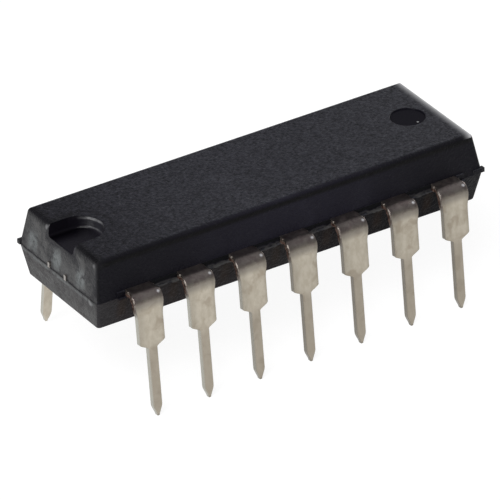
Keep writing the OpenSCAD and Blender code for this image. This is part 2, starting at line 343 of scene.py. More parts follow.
def make_drawn_lines():
    """Fine parallel lines left by rolling or by the mould's polish, much longer than wide."""
    tree, given, result = new_group(
        "drawn_lines", [("Position", "vector"), ("Width", "value"), ("Break", "value")],
        [("Height", "value")])
    place = in_units(tree, given["Position"], given["Width"])
    lines = noise(tree, place, 1.0, detail=3.0, roughness=0.6, stretch=(1, 20, 20))
    faint = noise(tree, place, 12.0, detail=2.0)
    shown = rescale(tree, faint, 0.35, 0.65, 1.0, outside(tree, given["Break"]))
    spread = sums(tree, "MULTIPLY", sums(tree, "SUBTRACT", lines, 0.5), shown)
    tree.links.new(sums(tree, "ADD", spread, 0.5), result["Height"])
    return tree


GRAIN = make_grain()
SMUDGES = make_smudges()
DRAWN_LINES = make_drawn_lines()


# Moulding resin: places. Two numbers are a lower and an upper limit

SEAT_OF_EJECTOR = BODY_TOP - EJECTOR_DEPTH
STRAY_SPECK = (8.06, -0.54, SEAT_OF_EJECTOR)
NOTCH_CENTRE = (-8.4, 0, BODY_TOP)
NOTCH_X = (-9.42, -7.34)
NOTCH_HALF = 1.1
NOTCH_Z = (3.39, BODY_TOP - 0.02)
UPPER_RIM_Z = (3.90, 4.0)
LOWER_RIM_Z = (3.54, 3.6)
NOTCH_LIP_Y = (1.02, 1.32)
NOTCH_RING = (1.22, 1.38)
END_FACE_X = (9.1, BODY_LENGTH / 2 + 0.015)
FLASH_SPOTS = ((-9.69, 3.05, 2.35), (9.69, -3.05, 2.35))
FLASH_RADIUS = 0.13
# Middle, radius and softness of each painted glint on a corner
PAINTED_GLINTS = (((-9.38, 1.18, 3.85), 0.02, 0.14),
         ((-9.32, -2.6, 3.77), 0.05, 0.1),
         ((-9.64, -2.55, 2.03), 0.05, 0.14))
CLOUD_MIDDLE_Y = 0.2
CLOUD_RADIANS_PER_MM = 3.3
CLOUD_Z = (2.45, 3.1)
RIDGE_Z = (2.02, 2.16)
PARTING_Z = (FRAME_BOTTOM - 0.03, FRAME_BOTTOM + 0.06)
TORN_DARK_Z = (2.37, 2.58)
TORN_PALE_Z = (2.22, 2.33)
TORN_END_X = (8.2, 8.3)
LOWER_CORNER = (-BODY_LENGTH / 2, -BODY_WIDTH / 2, 1.4)
SHADE_BELOW_EDGE_Z = (3.72, 3.92)
SHEEN_X = (8.8, 9.22)
BURNISHED_X = (9.12, 9.2)
SHEEN_AND_BURNISH_FROM_Z = (3.6, 3.7)
SHEEN_CURVE = 2.6

# Moulding resin: tones

RESIN = {
    "side": tone(0.0060, 0.0054, 0.0098),
    "hazy side": tone(0.0080, 0.0074, 0.0125),
    "painted shade below the top edge": tone(0.0005, 0.0004, 0.0008),
    "top": tone(0.0255, 0.0257, 0.0322),
    "hazy top": tone(0.0315, 0.0318, 0.0392),
    "top in painted shade by the notch": tone(0.0125, 0.0122, 0.0165),
    "top with painted sheen by the plain end": tone(0.0350, 0.0355, 0.0415),
    "shaded turn": tone(0.0060, 0.0057, 0.0075),
    "painted shade by the notch edge": tone(0.0040, 0.0038, 0.0055),
    "lower half by the notch": tone(0.0115, 0.0080, 0.0095),
    "lower half by the plain end": tone(0.0046, 0.0042, 0.0060),
    "lower corner": tone(0.0185, 0.0170, 0.0190),
    "painted_lead_reflection": tone(0.020, 0.011, 0.007),
    "pale grain": tone(0.070, 0.070, 0.075),
    "end haze": tone(0.064, 0.064, 0.064),
    "end cloud": tone(0.150, 0.163, 0.165),
    "torn shadow": tone(0.003, 0.003, 0.004),
    "torn edge with painted highlight": tone(0.062, 0.060, 0.060),
    "parting line": tone(0.010, 0.010, 0.011),
    "shaded near corner": tone(0.0020, 0.0018, 0.0026),
    "painted_glint": tone(0.17, 0.17, 0.175),
    "flash": tone(0.022, 0.022, 0.024),
    "ejector mark": tone(0.0060, 0.0055, 0.0090),
    "near notch floor": tone(0.0125, 0.0115, 0.0155),
    "notch floor in painted shade": tone(0.0015, 0.0012, 0.0022),
    "far notch wall in painted shade": tone(0.0048, 0.0042, 0.0062),
    "back notch wall with painted light": tone(0.022, 0.022, 0.026),
    "painted highlight on the notch rim": tone(0.165, 0.165, 0.17),
    "painted sheen on the plain end's edge": tone(0.42, 0.42, 0.43),
    "speck": tone(0.3, 0.3, 0.3),
}


def resin_place(tree, place):
    """Where a point of the moulding lies and which way its surface faces."""
    normal = add(tree, "ShaderNodeNewGeometry").outputs["Normal"]
    facing = add(tree, "ShaderNodeSeparateXYZ", Vector=normal).outputs
    x, y, z = add(tree, "ShaderNodeSeparateXYZ", Vector=place).outputs
    return SimpleNamespace(
        point=place, x=x, y=y, z=z, along=size_of(tree, x), out=size_of(tree, y), facing=facing,
        flat=rescale(tree, size_of(tree, facing[2]), 0.9, 0.985))


def notch_masks(tree, at):
    """The notch, its back wall with turned streaks and painted light where it faces the end, its
    far wall in painted shade, painted highlights on the back wall's rims, and painted shade on a lip and
    a ring beside it on the top."""
    notch = times(tree, within(tree, at.x, *NOTCH_X, 0.03),
                  falling(tree, at.out, NOTCH_HALF - 0.01, NOTCH_HALF + 0.01),
                  within(tree, at.z, *NOTCH_Z))
    turned = noise(tree, at.point, 0.25, detail=3.0, stretch=(1, 1, 0.25))
    back_wall = times(tree, notch, falling(tree, at.facing[0], -0.95, -0.35),
                      rescale(tree, turned, 0.3, 0.65, 0.35, 1.0))
    rim_highlights = weighted(tree, (within(tree, at.z, *UPPER_RIM_Z, 0.03), 1),
                    (within(tree, at.z, *LOWER_RIM_Z, 0.03), 0.5))
    inner, outer = NOTCH_RING
    return SimpleNamespace(
        notch=notch,
        back_wall=back_wall,
        far_wall=times(tree, notch, falling(tree, at.facing[1], -0.85, -0.45)),
        rim_highlights=times(tree, back_wall, rim_highlights, rescale(tree, at.y, -0.5, 0.3)),
        lip=times(tree, within(tree, at.y, *NOTCH_LIP_Y, 0.1), falling(tree, at.x, -8.3, -7.6), at.flat),
        ring=times(tree, near_point(tree, at.point, NOTCH_CENTRE, outer, 0.08),
                   outside(tree, near_point(tree, at.point, NOTCH_CENTRE, inner, 0.08)),
                   rescale(tree, at.x, -8.2, -7.6), rescale(tree, at.y, -0.9, -0.3), at.flat))


def end_masks(tree, at):
    """The end faces: mottled haze that thins out at their rounded edges, three paler
    clouds above the parting line and a ridge below it, painted glints on corners, flash, and
    painted shade on the turns to the top and to the near side."""
    face = times(tree, rescale(tree, size_of(tree, at.facing[0]), 0.75, 0.95),
                 within(tree, at.along, *END_FACE_X, 0.005))
    mottling = weighted(
        tree, (noise(tree, at.point, 0.9, detail=6.0, roughness=0.62, distortion=1.2), 0.78),
        (noise(tree, at.point, 0.12, detail=3.0, roughness=0.7), 0.22))
    wave = sums(tree, "MULTIPLY", sums(tree, "SUBTRACT", at.y, CLOUD_MIDDLE_Y), CLOUD_RADIANS_PER_MM)
    clouds = times(tree, rescale(tree, sums(tree, "COSINE", wave), 0.0, 1.0),
                   within(tree, at.z, *CLOUD_Z, 0.35), rescale(tree, mottling, 0.36, 0.56))
    ridge = times(tree, within(tree, at.z, *RIDGE_Z, 0.06), rescale(tree, mottling, 0.36, 0.58), 0.6)
    rounded = either(
        tree, rescale(tree, at.z, 3.6, 3.9),
        times(tree, rescale(tree, at.out, 2.45, 2.95), rescale(tree, at.z, 2.3, 2.6)),
        times(tree, falling(tree, at.out, 1.1, 1.3), rescale(tree, at.z, 3.1, 3.45)))
    return SimpleNamespace(
        face=face,
        haze=times(tree, face, rescale(tree, mottling, 0.34, 0.62, 0.25, 1.0),
                   outside(tree, sums(tree, "MULTIPLY", rounded, 0.7))),
        clouds=times(tree, face, either(tree, clouds, ridge)),
        flash=either(tree, *[near_point(tree, at.point, spot, FLASH_RADIUS, 0.05)
                             for spot in FLASH_SPOTS]),
        painted_glints=either(tree, *[near_point(tree, at.point, *painted_glint) for painted_glint in PAINTED_GLINTS]),
        top_turn=times(tree, either(tree, falling(tree, at.x, -9.2, -8.95), face),
                       falling(tree, at.x, -9, -8.8), rescale(tree, at.z, 3.55, 3.85)),
        side_turn=times(tree, within(tree, at.facing[0], -0.8, -0.2, 0.12),
                        rescale(tree, at.z, 2.3, 2.4), falling(tree, at.y, -2, -1)))


def parting_masks(tree, at, end_face):
    """The parting line across the ends, and the resin that the dam bars held back between
    the leads: dark above, and below it a torn edge with a painted highlight. The lines wander a little."""
    wander = noise(tree, at.point, 0.35, detail=3.0, stretch=(1, 1, 4))
    height = weighted(tree, (at.z, 1), (sums(tree, "SUBTRACT", wander, 0.5), 0.3))
    between_leads = times(tree, rescale(tree, at.out, BODY_WIDTH / 2 - 0.08, BODY_WIDTH / 2 - 0.04),
                          falling(tree, at.along, *TORN_END_X))
    return SimpleNamespace(
        line=times(tree, end_face, within(tree, height, *PARTING_Z, 0.05)),
        torn_shadow=times(tree, between_leads, within(tree, height, *TORN_DARK_Z, 0.03)),
        torn_edge_with_highlight=times(tree, between_leads, within(tree, height, *TORN_PALE_Z, 0.03),
                        rescale(tree, wander, 0.3, 0.6, 0.3, 1.0)))


def lower_masks(tree, at):
    """The lower half, its paler corner by the notch, a painted reddish reflection of the leads
    beside each lead, and the stretch of its long sides that shines less."""
    half = falling(tree, at.z, FRAME_BOTTOM - 0.04, FRAME_BOTTOM)
    beside_lead = sums(tree, "PINGPONG", sums(tree, "ADD", at.x, SHOULDER_HALF + 0.12), LEAD_PITCH / 2)
    return SimpleNamespace(
        half=half,
        corner=times(tree, near_point(tree, at.point, LOWER_CORNER, 0.5, 1.6), half),
        painted_lead_reflection=times(tree, half, falling(tree, beside_lead, 0.05, 0.35),
                   rescale(tree, at.out, 2.8, 2.95), falling(tree, at.along, 8.6, 8.9)),
        dull=times(tree, half, within(tree, at.x, 0.5, 8.4, 0.3), rescale(tree, at.x, -5, 6),
                   rescale(tree, size_of(tree, at.facing[1]), 0.6, 0.9)))


def sheen_and_burnish_masks(tree, at):
    """The rounded edge over the plain end, with a painted pale sheen, and burnished smoother at its end.
    """
    high = rescale(tree, at.z, *SHEEN_AND_BURNISH_FROM_Z)
    toward_edge = sums(tree, "POWER", rescale(tree, at.x, *SHEEN_X, smooth=False), SHEEN_CURVE)
    return SimpleNamespace(
        pale=times(tree, toward_edge, rescale(tree, at.facing[2], 0.3, 0.6), high),
        burnished=times(tree, rescale(tree, at.x, *BURNISHED_X), high))


def resin_top_and_sides(tree, at, grain, haze):
    """The dark smooth sides, paler toward the middle of their length, with painted shade just
    below the top edge, and the grainy top, with painted shade by the notch and a painted sheen toward
    the plain end."""
    middle = rescale(tree, within(tree, at.x, -4.0, 4.5, 3.5), 0.0, 1.0, 0.6, 1.35, smooth=False)
    # Painted shade: a dark band on the long sides just below the rounded top edge.
    shade_below_edge = times(tree, within(tree, at.z, *SHADE_BELOW_EDGE_Z, 0.08), outside(tree, at.flat),
                       rescale(tree, at.out, 2.4, 2.6))
    sides = blend(tree, haze, RESIN["side"], RESIN["hazy side"])
    sides = blend(tree, 1.0, sides, middle, kind="MULTIPLY")
    sides = blend(tree, shade_below_edge, sides, RESIN["painted shade below the top edge"])

    top = paint(tree, blend(tree, haze, RESIN["top"], RESIN["hazy top"]),
                (falling(tree, at.x, -9.5, -3.5), 0.9, RESIN["top in painted shade by the notch"]),
                (rescale(tree, at.x, 2.0, 9.3), 0.5, RESIN["top with painted sheen by the plain end"]))
    pits = rescale(tree, grain["Height"], 0.0, 1.0, 0.15, 1.85, smooth=False)
    top = blend(tree, 1.0, top, pits, kind="MULTIPLY")
    return blend(tree, at.flat, sides, top)


def moulding_resin():
    """Filled black epoxy. The top and the underside are eroded to a fine matt grain and
    the long sides are smoother and darker. The ends are hazy, the lower half is browner,
    the ejector and notch marks are smooth, and torn resin stands between the leads."""
    material, tree, shader, place = new_material("moulding_resin", Metallic=0.0, IOR=1.5)
    grain = use(tree, GRAIN, Position=place, Size=GRAIN_SIZE, Contrast=2.6)
    broad = use(tree, GRAIN, Position=place, Size=0.4, Contrast=1.6)
    haze = use(tree, SMUDGES, Position=place, Size=2.2, Cover=0.5)["Mask"]
    at = resin_place(tree, place)
    notch = notch_masks(tree, at)
    end = end_masks(tree, at)
    parting = parting_masks(tree, at, end.face)
    lower = lower_masks(tree, at)
    sheen_and_burnish = sheen_and_burnish_masks(tree, at)
    ejector = near_point(tree, place, (EJECTOR_REACH, 0, SEAT_OF_EJECTOR), EJECTOR_RADIUS - 0.01, 0.02)
    speck = near_point(tree, place, STRAY_SPECK, 0.035, 0.03)

    lower_half = blend(tree, rescale(tree, at.x, -6, 7), RESIN["lower half by the notch"],
                       RESIN["lower half by the plain end"])
    # Painted shade: the notch floor darkens toward its far wall.
    notch_floor = blend(tree, rescale(tree, at.y, 0.0, 0.85), RESIN["near notch floor"],
                        RESIN["notch floor in painted shade"])
    grain_shown = sums(tree, "ADD", times(tree, at.flat, 0.7), 0.1)
    pale_grain = times(tree, grain["Speck"], grain_shown)
    colour = paint(
        tree, resin_top_and_sides(tree, at, grain, haze),
        (end.top_turn, 0.85, RESIN["shaded turn"]),
        (notch.lip, 0.7, RESIN["painted shade by the notch edge"]),
        (notch.ring, 0.5, RESIN["painted shade by the notch edge"]),
        (lower.half, 1, lower_half),
        (lower.corner, 1, RESIN["lower corner"]),
        (lower.painted_lead_reflection, 0.7, RESIN["painted_lead_reflection"]),
        (pale_grain, 1, RESIN["pale grain"]),
        (end.haze, 1, RESIN["end haze"]),
        (end.clouds, 0.75, RESIN["end cloud"]),
        (parting.torn_shadow, 1, RESIN["torn shadow"]),
        (parting.torn_edge_with_highlight, 1, RESIN["torn edge with painted highlight"]),
        (parting.line, 0.7, RESIN["parting line"]),
        (end.side_turn, 0.75, RESIN["shaded near corner"]),
        (end.painted_glints, 0.75, RESIN["painted_glint"]),
        (end.flash, 1, RESIN["flash"]),
        (ejector, 1, RESIN["ejector mark"]),
        (notch.notch, 1, notch_floor),
        (notch.far_wall, 1, RESIN["far notch wall in painted shade"]),
        (notch.back_wall, 0.8, RESIN["back notch wall with painted light"]),
        (notch.rim_highlights, 0.8, RESIN["painted highlight on the notch rim"]),
        (sheen_and_burnish.pale, 1, RESIN["painted sheen on the plain end's edge"]),
        (speck, 1, RESIN["speck"]))

    polished = either(tree, ejector, notch.notch)
    rough = rescale(tree, grain["Height"], 0.2, 0.8, 0.62, 0.46)
    for mask, roughness in ((polished, 0.22), (sheen_and_burnish.burnished, 0.3), (parting.torn_shadow, 0.85)):
        rough = rescale(tree, mask, 0.0, 1.0, rough, roughness, smooth=False)
    calm = sums(tree, "MULTIPLY", either(tree, polished, sheen_and_burnish.burnished), 0.85)
    height = weighted(tree, (grain["Height"], 0.7), (broad["Height"], 0.3))
    join_up(tree, shader, colour, rough, times(tree, height, outside(tree, calm)), GRAIN_DEPTH)
    dull = either(tree, lower.dull, notch.far_wall)
    shine = rescale(tree, dull, 0.0, 1.0, 0.14, 0.07, smooth=False)
    tree.links.new(shine, shader.inputs["Specular IOR Level"])
    return material


# Metals and the other materials

LEAD_MARKS = ("sheared_side", "rolled_corner", "torn_part")
BEND_GLINT_SPOT = (0.55, 3.80, 2.39)
BARE_FROM_Z = (1.75, 2.15)
TIN = {
    "dark": tone(0.435, 0.39, 0.315),
    "pale": tone(0.515, 0.47, 0.39),
    "stain": tone(0.34, 0.285, 0.22),
    "pin": tone(0.33, 0.29, 0.235),
    "painted dark reflection below the bend": tone(0.22, 0.20, 0.175),
    "flat": tone(0.47, 0.40, 0.42),
    "tarnish": tone(0.26, 0.19, 0.20),
    "side by the notch": tone(0.43, 0.425, 0.38),
    "side by the plain end": tone(0.195, 0.178, 0.152),
    "torn copper in painted shade": tone(0.045, 0.022, 0.017),
    "torn pale": tone(0.15, 0.10, 0.083),
    "fleck dark": tone(0.085, 0.066, 0.056),
    "fleck pale": tone(0.21, 0.185, 0.165),
    "bend_glint": tone(0.90, 0.91, 0.93),
}


def tinned_lead():
    """Matt tin on a copper alloy sheet. The sheared sides are rough and coppery beside the
    body, where painted shade darkens the copper, and plated over below, darker toward the
    plain end. Painted shade darkens each face beside its edges and at the tip, and a painted
    highlight sits on one corner of each bend."""
    material, tree, shader, place = new_material("tinned_lead", Metallic=1.0)
    side, corner, torn_part = [
        add(tree, "ShaderNodeAttribute", {"attribute_name": mark}).outputs["Fac"] for mark in LEAD_MARKS]
    along, out, height_up = add(tree, "ShaderNodeSeparateXYZ", Vector=place).outputs
    wander = noise(tree, place, 0.12, detail=4.0, roughness=0.6)
    grain = use(tree, GRAIN, Position=place, Size=0.05, Contrast=1.8)
    lines = use(tree, DRAWN_LINES, Position=place, Width=0.035, Break=0.6)["Height"]
    stain = use(tree, SMUDGES, Position=place, Size=0.7, Cover=0.5)["Mask"]
    mottle = noise(tree, place, 0.22, detail=4.0, roughness=0.6, stretch=(1, 1, 1.8))
    tarnish = noise(tree, place, 0.3, detail=5.0, roughness=0.65, distortion=0.8)

    # Parts of a lead, where across is counted from its middle, the same way in both rows
    front_row = falling(tree, out, -1, 1)
    row_sign = sums(tree, "SIGN", sums(tree, "MULTIPLY", out, -1.0))
    across = sums(tree, "WRAP", sums(tree, "MULTIPLY", along, row_sign), LEAD_PITCH / 2, -LEAD_PITCH / 2)
    in_one_lead = add(tree, "ShaderNodeCombineXYZ", X=across, Y=size_of(tree, out), Z=height_up)
    bend_glint = near_point(tree, in_one_lead.outputs[0], BEND_GLINT_SPOT, 0.025, 0.085)
    pin = times(tree, falling(tree, height_up, -0.3, 0.4), front_row)
    # Painted reflection: a darker band on the leg just below the bend.
    dark_reflection_below_bend = times(tree, rescale(tree, height_up, 1.72, 2.08), falling(tree, height_up, 2.1, 2.3))
    tarnish = times(tree, rescale(tree, tarnish, 0.42, 0.62), rescale(tree, height_up, 2.0, 2.3))
    near_body = rescale(tree, weighted(tree, (height_up, 1), (wander, 0.5)), *BARE_FROM_Z)
    bare = times(tree, rescale(tree, torn_part, 0.1, 0.8), near_body)
    side_by_body = times(tree, near_body, rescale(tree, side, 0.02, 0.3))
    edge_shade = weighted(
        tree, (rescale(tree, across, -0.62, -0.1, 0.16, 0.0), 1),
        (rescale(tree, across, 0.42, 0.6, 0.0, 0.16), 1), (corner, 0.1),
        (rescale(tree, height_up, -PIN_LENGTH, -PIN_LENGTH + 0.18, 0.45, 0.0), 1))

    plated_side = blend(tree, times(tree, rescale(tree, along, -6.5, 0.5), front_row),
                        TIN["side by the notch"], TIN["side by the plain end"])
    # Bare torn copper beside the body, mottled; its dark tone also carries painted shade.
    torn = blend(tree, rescale(tree, wander, 0.42, 0.58), TIN["torn copper in painted shade"], TIN["torn pale"])
    flecked = blend(tree, rescale(tree, wander, 0.4, 0.6), TIN["fleck dark"], TIN["fleck pale"])
    colour = paint(
        tree, blend(tree, rescale(tree, mottle, 0.3, 0.7), TIN["dark"], TIN["pale"]),
        (stain, 0.55, TIN["stain"]),
        (pin, 0.7, TIN["pin"]),
        (dark_reflection_below_bend, 0.75, TIN["painted dark reflection below the bend"]),
        (rescale(tree, height_up, 2.15, 2.4), 0.5, TIN["flat"]),
        (tarnish, 0.5, TIN["tarnish"]),
        (times(tree, rescale(tree, along, -6, 2), front_row), 0.11, BLACK),
        (edge_shade, 1, BLACK),
        (side, 0.85, plated_side),
        (bare, 1, torn),
        (times(tree, side_by_body, outside(tree, bare)), 1, flecked),
        (bend_glint, 0.85, TIN["bend_glint"]))
    roughness = weighted(
        tree, (rescale(tree, stain, 0.0, 1.0, 0.34, 0.44), 1), (bare, 0.4), (bend_glint, 0.2),
        (side_by_body, 0.15), (times(tree, corner, outside(tree, near_body)), -0.12))
    height = weighted(tree, (grain["Height"], 0.5), (lines, 0.6), (times(tree, bare, wander), 3.0))
    join_up(tree, shader, colour, roughness, height, 0.004)
    return material


def lead_frame_alloy():
    """The same sheet where it was sheared off at the ends: smeared copper alloy."""
    material, tree, shader, place = new_material("lead_frame_alloy", Metallic=1.0)
    grain = use(tree, GRAIN, Position=place, Size=0.06, Contrast=2.0)
    lines = use(tree, DRAWN_LINES, Position=place, Width=0.03, Break=0.4)["Height"]
    stain = use(tree, SMUDGES, Position=place, Size=0.12, Cover=0.5)["Mask"]
    colour = blend(tree, stain, tone(0.34, 0.32, 0.30), tone(0.15, 0.12, 0.10))
    roughness = rescale(tree, grain["Height"], 0.0, 1.0, 0.5, 0.34)
    height = weighted(tree, (grain["Height"], 0.5), (lines, 0.5))
    join_up(tree, shader, colour, roughness, height, 0.005)
    return material


def silver_adhesive():
    """Silver flakes in epoxy: pale, grainy and half metallic."""
    material, tree, shader, place = new_material("silver_adhesive", IOR=1.5)
    grain = use(tree, GRAIN, Position=place, Size=0.03, Contrast=2.5)
    smear = use(tree, SMUDGES, Position=place, Size=0.3, Cover=0.5)["Mask"]
    colour = blend(tree, grain["Speck"], tone(0.44, 0.44, 0.43), tone(0.62, 0.62, 0.60))
    colour = blend(tree, smear, colour, tone(0.36, 0.36, 0.35))
    roughness = rescale(tree, grain["Height"], 0.0, 1.0, 0.6, 0.4)
    metallic = rescale(tree, grain["Speck"], 0.0, 1.0, 0.35, 0.9)
    join_up(tree, shader, colour, roughness, grain["Height"], 0.003, metallic)
    return material


def silicon():
    """A polished chip: dark grey blue, with the faint blocks of its circuit on top."""
    material, tree, shader, place = new_material("silicon", Metallic=0.55)
    blocks = add(tree, "ShaderNodeTexBrick", {"offset": 0.5}, Vector=place, Scale=3.2,
                 Mortar_Size=0.02, Color1=tone(0.10, 0.12, 0.16), Color2=tone(0.16, 0.15, 0.19),
                 Mortar=tone(0.24, 0.24, 0.27))
    smear = use(tree, SMUDGES, Position=place, Size=0.5, Cover=0.4)["Mask"]
    colour = blend(tree, smear, blocks.outputs[0], tone(0.13, 0.15, 0.16))
    roughness = rescale(tree, smear, 0.0, 1.0, 0.16, 0.26)
    join_up(tree, shader, colour, roughness, blocks.outputs[1], 0.001)
    return material


def gold_wire():
    """Drawn gold wire with faint die lines."""
    material, tree, shader, place = new_material("gold_wire", Metallic=1.0)
    lines = use(tree, DRAWN_LINES, Position=place, Width=0.006, Break=0.3)["Height"]
    tint = noise(tree, place, 0.2, detail=2.0)
    colour = blend(tree, tint, tone(0.88, 0.62, 0.22), tone(0.80, 0.55, 0.20))
    join_up(tree, shader, colour, rescale(tree, lines, 0.3, 0.7, 0.18, 0.28), lines, 0.001)
    return material


# The leads

OUTER_RADIUS = INSIDE_BEND + SHEET
MIDDLE_RADIUS = INSIDE_BEND + SHEET / 2
BEND_Z = FRAME_TOP - OUTER_RADIUS
ANCHOR_U = BODY_WIDTH / 2 - ANCHOR_DEPTH
CORNER_STEPS = 5
# Columns of a face: shares of the half width that its corners leave flat
FACE_SHARES = (0.92, 0.5, 0.0, -0.5, -0.92)
# Columns of a side: share of the half thickness, and how far the metal is torn there
SIDE_COLUMNS = ((0.3, 0.15), (-0.2, 1.0))


def line_pieces(*stretches):
    """Points along a path: each stretch is (start, end, how many), joined without doubles."""
    parts = [np.linspace(a, b, n, endpoint=False) for a, b, n in stretches]
    return np.concatenate(parts + [[stretches[-1][1]]])


def smooth_between(value, low, high):
    """0 below low, 1 above high, and an S-shaped curve between."""
    s = np.clip((value - low) / (high - low), 0, 1)
    return s * s * (3 - 2 * s)


def lead_stages(lean):
    """Distances along the sheet for a row's lean: the end of the flat, the end of the bend,
    the corners of the shoulders, the start of the narrow pin, and the very end. The flat
    stops where a bend of this angle brings the outer face to the row's span."""
    turn = math.pi / 2 - lean
    flat = LEAD_SPAN / 2 - OUTER_RADIUS * math.tan(turn / 2) - ANCHOR_U
    bend = flat + MIDDLE_RADIUS * turn
    leg_top = BEND_Z + OUTER_RADIUS * math.sin(lean)
    shoulder = bend + (leg_top - SHOULDER_TAPER) / math.cos(lean)
    pin = bend + leg_top / math.cos(lean)
    length = PIN_LENGTH - (BACK_TIP_WEAR if lean == BACK_LEAN else 0)
    end = pin + (length - SHEET * math.sin(lean)) / math.cos(lean)
    return flat, bend, shoulder, pin, end


def lead_path(s, lean):
    """Middle line of the sheet at a distance s from the anchor: straight out, round the
    bend on a circle, then straight down along the leaning leg. Gives the place
    (outward, up) and the sheet's outward normal there."""
    flat, bend = lead_stages(lean)[:2]
    turn = np.clip((s - flat) / MIDDLE_RADIUS, 0, math.pi / 2 - lean)
    out_n, up_n = np.sin(turn), np.cos(turn)
    beyond = np.maximum(s - bend, 0)
    out = ANCHOR_U + np.minimum(s, flat) + MIDDLE_RADIUS * out_n + beyond * math.sin(lean)
    up = BEND_Z + MIDDLE_RADIUS * up_n - beyond * math.cos(lean)
    return np.stack([out, up], 1), np.stack([out_n, up_n], 1)


def lead_half_width(s, lean):
    """Half width along the lead: the broad part with a nib of sheared dam bar beside the
    body and a swell round the bend that runs out below it, S-shaped shoulders, the narrow
    pin and its tapered tip."""
    flat, bend, shoulder, pin, end = lead_stages(lean)
    narrow = smooth_between(s, shoulder, pin)
    point = smooth_between(s, end - TIP_TAPER / math.cos(lean), end)
    width = SHOULDER_HALF + (PIN_HALF - SHOULDER_HALF) * narrow + (TIP_HALF - PIN_HALF) * point
    out = ANCHOR_U + s
    first, last = BODY_WIDTH / 2, BODY_WIDTH / 2 + DAM_LENGTH
    past_nib = smooth_between(out, last - 0.015, last + 0.015)
    nib = smooth_between(out, first - 0.02, first + 0.01) * (1 - past_nib)
    past_swell = smooth_between(s, bend, bend + SWELL_RUN_OUT)
    swell = smooth_between(s, flat - 0.05, flat + 0.2) * (1 - past_swell)
    return width + DAM_STUB * nib + BEND_SWELL * swell


def tip_rounding(s, end):
    """Shares of the half width and half thickness that are left toward the tip: it is
    coined thinner, and its last stretch is rounded off by a quarter circle."""
    last = np.clip((s - (end - TIP_ROUND)) / TIP_ROUND, 0, 1)
    round_off = np.sqrt(np.clip(1 - last ** 2, 0.02, 1))
    coined = 1 - COINED_SHARE * smooth_between(s, end - COINED_LENGTH, end)
    thinned = TIP_EDGE_SHARE + (1 - TIP_EDGE_SHARE) * round_off
    return round_off, coined * np.where(last > 0, thinned, 1.0)


def lead_section(half_width, half_depth):
    """Section of a stamped strip, once round: corners with a large radius where the punch
    came in and a small one where it left, and a shallow hollow in each side where the
    metal tore. Rows are places along the lead and columns go round the section. Also
    gives, for each column, how far it belongs to a side, to a rolled corner and to the
    torn inner part of a side."""
    columns, marks = [], []
    roll = np.minimum(ROLL_RADIUS, 0.45 * half_width)
    burr = np.minimum(BURR_RADIUS, 0.3 * half_width)
    hollow = np.minimum(SIDE_HOLLOW, 0.1 * half_width)

    def put(across, through, side, corner, torn):
        columns.append(np.stack(np.broadcast_arrays(across, through + 0 * half_width), -1))
        marks.append((side, corner, torn))

    def round_corner(side, face, radius, from_face):
        turns = np.linspace(0, np.pi / 2, CORNER_STEPS)
        for a in turns[::-1] if from_face else turns:
            on_side = np.cos(a) ** 2
            put(side * (half_width - radius + radius * np.cos(a)),
                face * (half_depth - radius + radius * np.sin(a)),
                on_side, np.sin(2 * a) if face > 0 else 0.0, 0.0 if face > 0 else on_side)

    for turn in (1, -1):
        first_radius, second_radius = (roll, burr) if turn > 0 else (burr, roll)
        for share in FACE_SHARES:
            put(turn * share * (half_width - first_radius), turn * half_depth, 0.0, 0.0, 0.0)
        round_corner(-turn, turn, first_radius, True)
        for share, torn in SIDE_COLUMNS if turn > 0 else SIDE_COLUMNS[::-1]:
            put(-turn * (half_width - hollow), share * half_depth, 1.0, 0.0, torn)
        round_corner(-turn, -turn, second_radius, False)
    return np.stack(columns, 1), np.array(marks)


def tube_faces(rings, around):
    """Quads between neighbouring rings of a closed section, and a fan at each end."""
    i, j = np.meshgrid(np.arange(rings - 1), np.arange(around), indexing="ij")
    k = (j + 1) % around
    quads = np.stack([i * around + j, (i + 1) * around + j, (i + 1) * around + k, i * around + k], -1)
    turn = np.arange(around)
    following = (turn + 1) % around
    first, last = rings * around, rings * around + 1
    cap = np.stack([turn, following, np.full(around, first)], 1)
    last_ring = (rings - 1) * around
    tip = np.stack([last_ring + following, last_ring + turn, np.full(around, last)], 1)
    return quads.reshape(-1, 4).tolist() + cap.tolist() + tip.tolist()


def mesh_piece(name, points, faces, material, stands_for):
    """A piece of the object from points in millimetres and faces, smooth shaded."""
    mesh = bpy.data.meshes.new(name)
    mesh.from_pydata((points * MM).tolist(), [], faces)
    mesh.polygons.foreach_set("use_smooth", np.ones(len(mesh.polygons), bool))
    mesh.materials.append(material)
    mesh.update()
    piece = bpy.data.objects.new(name, mesh)
    bpy.context.scene.collection.objects.link(piece)
    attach(piece, "root")
    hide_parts(*stands_for)
    return piece


def lead_stops(lean):
    """Distances along a lead where a ring of its section stands, closer together where
    the width or the direction changes."""
    flat, bend, shoulder, pin, end = lead_stages(lean)
    dam = BODY_WIDTH / 2 - ANCHOR_U
    dam_end = dam + DAM_LENGTH
    return line_pieces(
        (0, dam - 0.03, 3), (dam - 0.03, dam + 0.02, 5), (dam + 0.02, dam_end - 0.02, 3),
        (dam_end - 0.02, dam_end + 0.02, 5), (dam_end + 0.02, flat, 3), (flat, bend, 14),
        (bend, shoulder, 14), (shoulder, pin, 14), (pin, end - TIP_TAPER, 10),
        (end - TIP_TAPER, end - TIP_ROUND, 12), (end - TIP_ROUND, end, 5))


